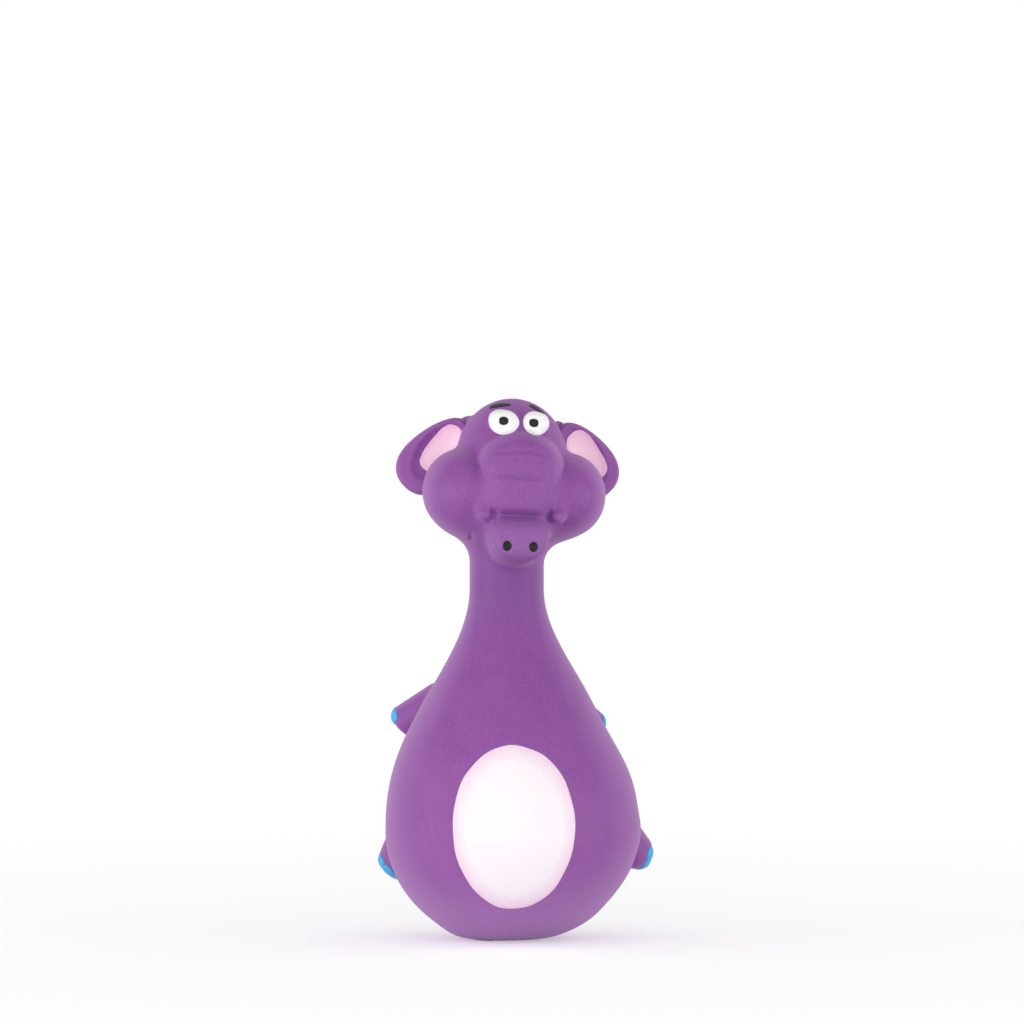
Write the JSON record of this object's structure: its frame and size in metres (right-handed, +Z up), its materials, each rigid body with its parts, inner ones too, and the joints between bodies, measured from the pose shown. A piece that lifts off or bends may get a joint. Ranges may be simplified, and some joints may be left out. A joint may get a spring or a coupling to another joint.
{
  "type": "squeaky dog toy",
  "caption": "Hollow latex elephant dog toy that stands upright, with a slim bending neck, flap ears, painted details and a squeaker plugged into its base.",
  "frame": {"origin": "middle of the base on the surface that the toy stands on", "axes": "+Z up through the head, the face towards -Y, +X to the viewer's right"},
  "size_m": [0.0692, 0.0558, 0.1324],
  "materials": {
    "purple_latex": "matte moulded latex, purple, with a soft bloom",
    "pink_paint": "pink latex paint, satin",
    "belly_paint": "very pale pink latex paint, satin",
    "white_paint": "white latex paint, satin",
    "black_paint": "black latex paint, satin",
    "blue_paint": "bright blue latex paint, satin",
    "squeaker_plastic": "moulded natural white plastic",
    "reed_film": "thin stiff plastic film"
  },
  "bodies": {
    "torso": {"torso_shell": "purple_latex", "belly_patch": "belly_paint", "right_foreleg": "purple_latex", "left_foreleg": "purple_latex", "right_hind_leg": "purple_latex", "left_hind_leg": "purple_latex", "right_foreleg_inner_nail": "blue_paint", "right_foreleg_middle_nail": "blue_paint", "right_foreleg_outer_nail": "blue_paint", "left_foreleg_inner_nail": "blue_paint", "left_foreleg_middle_nail": "blue_paint", "left_foreleg_outer_nail": "blue_paint", "right_hind_leg_inner_nail": "blue_paint", "right_hind_leg_middle_nail": "blue_paint", "right_hind_leg_outer_nail": "blue_paint", "left_hind_leg_inner_nail": "blue_paint", "left_hind_leg_middle_nail": "blue_paint", "left_hind_leg_outer_nail": "blue_paint", "squeaker_plug": "squeaker_plastic", "reed_block": "squeaker_plastic", "reed_clamp": "squeaker_plastic", "squeaker_cap": "squeaker_plastic"},
    "reed": {"reed_leaf": "reed_film"},
    "neck": {"neck_lower_ring": "purple_latex"},
    "nape": {"neck_upper_ring": "purple_latex"},
    "head": {"head_shell": "purple_latex", "trunk_tip": "purple_latex", "right_tusk": "purple_latex", "left_tusk": "purple_latex", "right_eye": "white_paint", "left_eye": "white_paint", "right_pupil": "black_paint", "left_pupil": "black_paint", "right_brow": "black_paint", "left_brow": "black_paint", "right_nostril": "black_paint", "left_nostril": "black_paint"},
    "right_ear_flap": {"right_ear": "purple_latex", "right_ear_pad": "pink_paint"},
    "left_ear_flap": {"left_ear": "purple_latex", "left_ear_pad": "pink_paint"}
  },
  "joints": [
    {"name": "squeeze", "type": "slide", "parent": "torso", "child": "neck", "axis": [0, 0, -1], "range_m": [0, 0.016], "stiffness_N_per_m": 900, "deforming": ["torso_shell"]},
    {"name": "neck_nod", "type": "hinge", "parent": "neck", "child": "nape", "pos_m": [-0.0013, 0, 0.08047], "axis": [1, 0, 0], "range_deg": [-20, 20], "stiffness_Nm_per_rad": 0.3},
    {"name": "neck_lean", "type": "hinge", "parent": "nape", "child": "head", "pos_m": [-0.0013, 0, 0.08747], "axis": [0, 1, 0], "range_deg": [-20, 20], "stiffness_Nm_per_rad": 0.3},
    {"name": "right_ear_bend", "type": "hinge", "parent": "head", "child": "right_ear_flap", "pos_m": [-0.01322, 0.00727, 0.12001], "axis": [-0.3875, 0.1865, -0.9028], "range_deg": [0, 20], "stiffness_Nm_per_rad": 0.006},
    {"name": "left_ear_bend", "type": "hinge", "parent": "head", "child": "left_ear_flap", "pos_m": [0.01259, 0.01021, 0.11897], "axis": [-0.2625, -0.2606, 0.9291], "range_deg": [0, 20], "stiffness_Nm_per_rad": 0.006},
    {"name": "reed_buzz", "type": "hinge", "parent": "torso", "child": "reed", "pos_m": [0, 0, 0.0053], "axis": [1, 0, 0], "range_deg": [-2, 2], "stiffness_Nm_per_rad": 0.00002}
  ]
}
